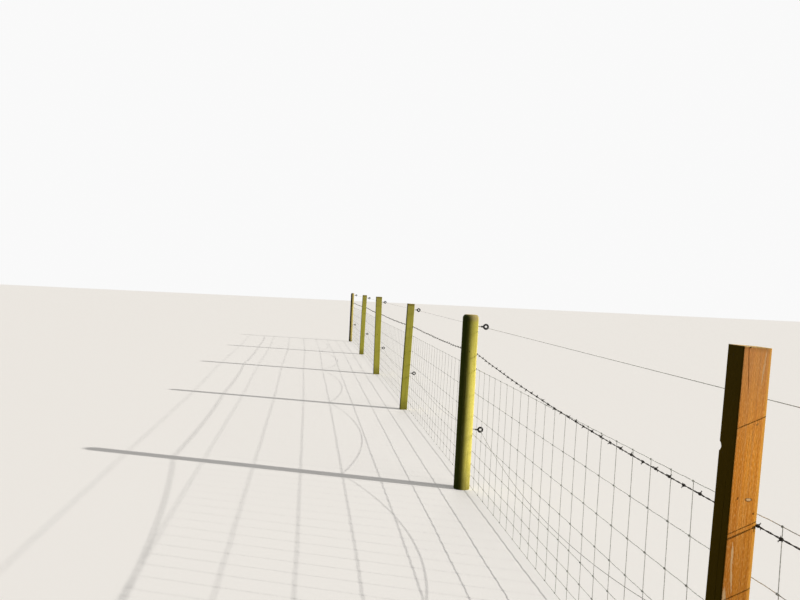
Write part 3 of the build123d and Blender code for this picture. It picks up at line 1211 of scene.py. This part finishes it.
@dataclass
class RingInsulators:
    """Screw-in ring insulators: a moulded ring on a flared shank over a threaded screw."""

    plastic: bpy.types.Material
    steel: bpy.types.Material
    ring_radius: float = 21 * MM     # over the outside
    ring_middle: float = 14.5 * MM   # radius of the circle that the ring's section turns round
    ring_thickness: float = 11 * MM
    ring_sides: int = 14
    ring_steps: int = 44
    reach: float = 53 * MM           # from the post to the ring's centre
    screw_radius: float = 2.6 * MM
    screw_length: float = 18 * MM
    screw_sides: int = 12
    thread_pitch: float = 2.2 * MM
    thread_depth: float = 0.6 * MM
    thread_width: float = 0.6        # as a share of the pitch
    thread_root: float = 0.2 * MM    # how far the thread starts inside the core
    thread_steps: int = 14           # of one turn
    shank: tuple[tuple[float, float], ...] = (   # beyond the screw, and out from its axis, in millimetres
        (0, 0), (0, 4.8), (0.7, 5.5), (3.6, 5.6), (4.2, 5.2), (9, 5.6), (14, 6.1), (18.5, 6.8),
        (22, 5.4), (23, 0))
    shank_sides: int = 24

    def build(self) -> None:
        """Model one insulator and set a copy of it on every post that has one."""
        pattern = self.pattern()
        for number in range(1, POST_COUNT + 1):
            for level in ("top", "lower"):
                if f"{level}_insulator_{number}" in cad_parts:
                    self.place(number, level, pattern)
        bpy.data.meshes.remove(pattern)

    def place(self, number: int, level: str, pattern: bpy.types.Mesh) -> None:
        """Set an insulator where the frame has it.

        Args:
            number: Number of its post.
            level: Top or lower.
            pattern: Mesh of one insulator at the origin.
        """
        node = f"{level}_insulator_{number}"
        low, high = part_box(node)
        ring = Vector((high.x - self.ring_radius, (low.y + high.y) / 2, (low.z + high.z) / 2))
        turn = Matrix.Rotation(Setting.read(f"post_{number}").lean, 4, "Y")
        bm = bmesh.new()
        stamp(bm, pattern, Matrix.Translation(ring) @ turn @ Matrix.Translation((-self.reach, 0, 0)))
        show(f"ring_insulator_{level}_{number}", bm, [self.plastic, self.steel],
             [node], crease=38)

    def pattern(self) -> bpy.types.Mesh:
        """Model one insulator.

        Returns:
            The insulator, its screw leaving the post at the origin along the field side.
        """
        bm = bmesh.new()
        centre = Vector((self.reach, 0, 0))
        across = self.ring_radius - self.ring_middle
        flatten = Matrix.Diagonal((across, self.ring_thickness / 2, 1, 1))
        ring = add_circle(bm, self.ring_sides, 1.0,
                          Matrix.Translation(centre + Vector((self.ring_middle, 0, 0))) @ flatten)
        bmesh.ops.spin(bm, geom=ring, cent=centre, axis=(0, 1, 0), angle=math.tau, steps=self.ring_steps,
                       use_merge=True)
        outline = [(self.screw_length + along * MM, out * MM) for along, out in self.shank]
        self.turn_outline(bm, outline, 1.0, self.shank_sides)
        bmesh.ops.remove_doubles(bm, verts=bm.verts, dist=0.001 * MM)
        plastic_faces = len(bm.faces)
        self.cut_screw(bm)
        bm.faces.ensure_lookup_table()
        for face in bm.faces[plastic_faces:]:
            face.material_index = 1
        bmesh.ops.recalc_face_normals(bm, faces=bm.faces)
        return kept_mesh("ring_insulator", bm)

    def turn_outline(self, bm: bmesh.types.BMesh, outline: Sequence[tuple[float, float]], turns: float,
                     steps: int, advance: float = 0.0) -> None:
        """Turn an outline about the screw's axis.

        Args:
            bm: Bmesh to add the shape to.
            outline: Places along the axis and out from it.
            turns: Number of turns.
            steps: Steps in all the turns.
            advance: How far the outline moves along as it turns.
        """
        verts = [bm.verts.new((along, 0, out)) for along, out in outline]
        edges = [bm.edges.new(pair) for pair in zip(verts, verts[1:])]
        bmesh.ops.spin(bm, geom=[*verts, *edges], cent=(0, 0, 0), axis=(1, 0, 0),
                       dvec=(advance / steps, 0, 0), angle=math.tau * turns, steps=steps,
                       use_merge=advance == 0)

    def cut_screw(self, bm: bmesh.types.BMesh) -> None:
        """Make the threaded screw between the post and the plastic.

        Args:
            bm: Bmesh of the insulator.
        """
        core = self.screw_radius - self.thread_depth
        lie = Matrix.Translation((self.screw_length / 2, 0, 0)) @ Matrix.Rotation(math.pi / 2, 4, "Y")
        bmesh.ops.create_cone(bm, cap_ends=True, segments=self.screw_sides, radius1=core, radius2=core,
                              depth=self.screw_length, matrix=lie)
        advance = self.screw_length - self.thread_pitch
        turns = advance / self.thread_pitch
        root, width = core - self.thread_root, self.thread_width * self.thread_pitch
        self.turn_outline(bm, ((0.0, root), (width / 2, self.screw_radius), (width, root)), turns,
                          round(turns * self.thread_steps), advance)


@dataclass
class Staples:
    """Fencing staples that hold the netting and the strand to the posts."""

    finish: bpy.types.Material
    stapled_lines: tuple[int, ...] = (0, 2, 4, 6, 7)
    half_width: float = 5 * MM
    leg: float = 7 * MM
    sides: int = 7
    bends: int = 8
    slant: tuple[float, float] = (12, 32)    # degrees that a staple is turned across the grain
    seed: int = 200

    def build(self) -> None:
        """Model the staples of every post."""
        staple = self.staple()
        for number in range(1, POST_COUNT + 1):
            self.build_post(number, staple)
        bpy.data.meshes.remove(staple)

    def build_post(self, number: int, staple: bpy.types.Mesh) -> None:
        """Model the staples of one post.

        Args:
            number: Number of the post.
            staple: Mesh of one staple at the origin, its crown towards the field.
        """
        setting = Setting.read(f"post_{number}")
        bay = min(number, BAY_COUNT)
        lines = centres_at(f"netting_bay_{bay}", setting.foot.y)
        strand = centres_at(f"barbed_wire_bay_{bay}", setting.foot.y)[0]
        chance = random.Random(self.seed + number)
        bm = bmesh.new()
        held = [(strand, 2 * STRAND_RADIUS)]
        for line in (lines[place] for place in self.stapled_lines):
            off_face = line.x - (setting.foot.x + line.z * math.tan(setting.lean) + setting.size / 2)
            if off_face < self.half_width:
                held.append((line, LINE_RADIUS))
        for wire, radius in held:
            turn = Matrix.Rotation(math.radians(chance.uniform(*self.slant)), 4, "X")
            crown = wire + Vector((radius + STAPLE_RADIUS, 0, 0))
            stamp(bm, staple, Matrix.Translation(crown) @ turn)
        show(f"staples_{number}", bm, [self.finish])

    def staple(self) -> bpy.types.Mesh:
        """Bend one staple.

        Returns:
            The staple, its crown's axis through the origin and its two legs into the wood.
        """
        bm = bmesh.new()
        back = -self.half_width - self.leg
        path = [Vector((back, 0, -self.half_width))]
        for step in range(self.bends + 1):
            angle = math.pi * step / self.bends
            out = self.half_width * (math.sin(angle) - 1)
            path.append(Vector((out, 0, -self.half_width * math.cos(angle))))
        path.append(Vector((back, 0, self.half_width)))
        sweep(bm, path, STAPLE_RADIUS, self.sides)
        close_up(bm)
        return kept_mesh("staple", bm)


@dataclass(frozen=True)
class Studio:
    """Plain pale floor, a low key lamp from the field side behind the camera, and soft fills."""

    camera_side: float = 1.104      # from the middle post's axis, on the path side
    camera_back: float = 1.9055     # before the brown post, along the run
    eye_height: float = 1.35
    turn: float = math.radians(6.54)
    dip: float = math.radians(0.9)
    roll: float = math.radians(2.8)
    lens: float = 36.0                       # in millimetres, as the sensor's width is
    view_end: float = 300.0
    key_bearing: float = math.radians(70)    # from straight back along the run, towards the field
    key_slope: float = 0.437                 # fall of a shadow across the near sides
    key_strength: float = 4.8
    key_spread: float = math.radians(0.5)
    front_bearing: float = math.radians(48)
    front_strength: float = 0.6
    back_strength: float = 1.1
    fill_rise: float = math.radians(35)
    fill_spread: float = math.radians(40)
    ambient: float = 0.06
    backdrop: float = 0.95                   # strength of the backdrop that the camera sees
    lamp_colour: str = "#fff9ef"
    floor_lit: str = "#55554f"               # what the floor gives back to the fence
    floor_seen: str = "#e3e3e4"
    floor_glow: float = 0.1                  # seen from the camera only, so that the floor stays pale
    floor_half: float = 60.0
    floor_drop: float = 0.2 * MM

    def build(self) -> None:
        """Make the camera, the lights, the backdrop and the floor."""
        self.set_camera()
        self.set_lights()
        self.lay_floor()

    def set_camera(self) -> None:
        """Stand the camera where the photograph was taken."""
        data = bpy.data.cameras.new("camera")
        data.sensor_width = 36.0
        data.lens = self.lens
        data.clip_end = self.view_end
        camera = bpy.data.objects.new("camera", data)
        bpy.context.scene.collection.objects.link(camera)
        brown_post = Setting.read("post_2")
        level = Matrix.Rotation(math.pi / 2 - self.dip, 4, "X")
        camera.matrix_world = (
            Matrix.Translation((-self.camera_side, brown_post.foot.y - self.camera_back, self.eye_height))
            @ Matrix.Rotation(-self.turn, 4, "Z") @ level @ Matrix.Rotation(self.roll, 4, "Z"))
        bpy.context.scene.camera = camera

    def hang_lamp(self, name: str, towards: Vector, strength: float, spread: float) -> None:
        """Hang a lamp that is far away.

        Args:
            name: Name of the lamp.
            towards: Direction from the fence to the lamp.
            strength: Light that falls on a surface square to it.
            spread: Angle that the lamp takes up, which softens its shadows.
        """
        data = bpy.data.lights.new(name, "SUN")
        data.energy = strength
        data.angle = spread
        data.color = linear(self.lamp_colour)[:3]
        lamp = bpy.data.objects.new(name, data)
        bpy.context.scene.collection.objects.link(lamp)
        lamp.rotation_euler = towards.to_track_quat("Z", "Y").to_euler()

    def set_lights(self) -> None:
        """Hang the lamps and set the backdrop's colour and fill."""
        side = math.sin(self.key_bearing)
        self.hang_lamp("key", Vector((side, -math.cos(self.key_bearing), side * self.key_slope)),
                       self.key_strength, self.key_spread)
        for name, bearing, strength in (("front_fill", self.front_bearing, self.front_strength),
                                        ("back_fill", math.pi, self.back_strength)):
            towards = Vector((math.sin(bearing), -math.cos(bearing), math.tan(self.fill_rise)))
            self.hang_lamp(name, towards, strength, self.fill_spread)
        world = bpy.data.worlds.new("backdrop")
        bpy.context.scene.world = world
        add = nodes_of(world)
        strength = add("MapRange", (self.seen_directly(add), 0.0, 1.0, self.ambient, self.backdrop))
        light = add("Background", {"Color": linear("#ffffff"), "Strength": strength})
        add("OutputWorld", (light,))

    def seen_directly(self, add: Callable) -> bpy.types.NodeSocket:
        """Tell rays from the camera, mirrors and glass from all others.

        Args:
            add: Function that adds a node to the tree.

        Returns:
            One for those rays, otherwise nothing.
        """
        camera_ray = add("LightPath", output="Is Camera Ray")
        rays = camera_ray.node.outputs
        seen = add("Math", (camera_ray, rays["Is Glossy Ray"]), operation="MAXIMUM")
        return add("Math", (seen, rays["Is Transmission Ray"]), operation="MAXIMUM")

    def lay_floor(self) -> None:
        """Lay a plain pale floor, which gives back less light than it shows."""
        material = bpy.data.materials.new("floor_paint")
        add = nodes_of(material)
        seen = self.seen_directly(add)
        colour = add("Mix", {0: seen, 6: linear(self.floor_lit), 7: linear(self.floor_seen)}, 2,
                     data_type="RGBA")
        paint = add("BsdfDiffuse", {"Color": colour})
        glow = add("Math", (seen, self.floor_glow), operation="MULTIPLY")
        pale = add("Emission", {"Color": linear("#ffffff"), "Strength": glow})
        add("OutputMaterial", (add("AddShader", (paint, pale)),))
        bm = bmesh.new()
        bmesh.ops.create_grid(bm, x_segments=1, y_segments=1, size=self.floor_half,
                              matrix=Matrix.Translation((0, 0, -self.floor_drop)))
        mesh = kept_mesh("floor", bm)
        mesh.materials.append(material)
        floor = bpy.data.objects.new("floor", mesh)
        bpy.context.scene.collection.objects.link(floor)


def posts() -> list[TimberPost]:
    """List the seven posts.

    Returns:
        The posts, from the near end.
    """
    square, peeled = Section
    near, field, far, path = Side
    knot, hole, graze = MarkKind
    brown_marks = (
        Mark(hole, near, 15.8, 1055, 5.5, 7), Mark(hole, near, -19.7, 866, 4.5, 12, slant=0.4),
        Mark(knot, near, 10.7, 866, 17, 9), Mark(hole, near, 26, 832, 4, 6),
        Mark(graze, near, 20, 1199, 4.4, 84, slant=0.08), Mark(graze, near, -18.5, 737, 3.4, 34, slant=-0.1),
        Mark(graze, near, -17, 680, 4.2, 84, slant=-0.09), Mark(graze, near, -30, 610, 9, 60, slant=-0.05),
        Mark(graze, path, -8, 1216, 3, 34), Mark(knot, field, 9, 560, 16, 13),
        Mark(knot, far, 4, 905, 20, 16))
    brown_checks = (
        DryingCheck(near, -20, 1130, 1246, gape=1.8, drift=-9),
        DryingCheck(path, 8, 420, 980, gape=1.6, drift=5),
        DryingCheck(far, -9, 620, 1246, gape=2.6, drift=-8))
    thick_marks = (
        Mark(hole, near, -8, 940, 7, 12), Mark(graze, near, -12, 990, 5, 12),
        Mark(knot, path, 12, 1010, 17, 14), Mark(graze, near, -28, 350, 3.5, 150, slant=-0.06),
        Mark(knot, far, -8, 520, 18, 15))
    return [
        TimberPost(1, peeled, FADED_GREEN_TIMBER,
                   marks=(Mark(knot, path, 6, 640, 18, 15), Mark(knot, near, -12, 930, 14, 12)),
                   checks=(DryingCheck(near, 14, 300, 1156, gape=2.6, drift=9),)),
        TimberPost(2, square, BROWN_TIMBER, marks=brown_marks, checks=brown_checks,
                   wane=(10 * MM, 3.5 * MM), chip_height=985 * MM, row=6 * MM, columns=21),
        TimberPost(3, peeled, FADED_GREEN_TIMBER, marks=thick_marks, facets=80, row=9 * MM,
                   checks=(DryingCheck(near, -22, 560, 840, gape=2.4),
                           DryingCheck(far, 20, 420, 1160, gape=3, drift=10))),
        TimberPost(4, square, OLIVE_TIMBER,
                   marks=(Mark(knot, near, -20, 700, 14, 12), Mark(knot, path, 10, 930, 17, 14)),
                   checks=(DryingCheck(far, 7, 500, 1176, gape=2.4, drift=6),)),
        TimberPost(5, square, OLIVE_TIMBER,
                   marks=(Mark(knot, near, -9, 610, 13, 11), Mark(knot, path, 4, 860, 15, 13)),
                   checks=(DryingCheck(path, -10, 380, 1010, gape=2.4, drift=7),)),
        TimberPost(6, square, OLIVE_TIMBER, marks=(Mark(knot, near, 12, 805, 13, 11),),
                   checks=(DryingCheck(near, -6, 240, 700, drift=5),)),
        TimberPost(7, peeled, DARK_TIMBER,
                   marks=(Mark(knot, near, 10, 650, 15, 13), Mark(knot, path, -12, 300, 14, 12)),
                   checks=(DryingCheck(near, -11, 640, 1161, drift=-6),)),
    ]


def main() -> None:
    """Build every sub-assembly in order."""
    logging.basicConfig(level=logging.INFO, format="%(message)s")
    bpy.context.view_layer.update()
    bpy.context.scene.view_settings.view_transform = "Standard"
    Studio().build()
    for post in posts():
        post.build()
    StockNetting(NETTING_WIRE.material()).build()
    BarbedStrand(STRAND_WIRE.material()).build()
    ElectricWires(FENCE_WIRE.material()).build()
    RingInsulators(MouldedPlastic().material(), SCREW_STEEL.material()).build()
    Staples(STAPLE_STEEL.material()).build()


if __name__ == "__main__":
    main()
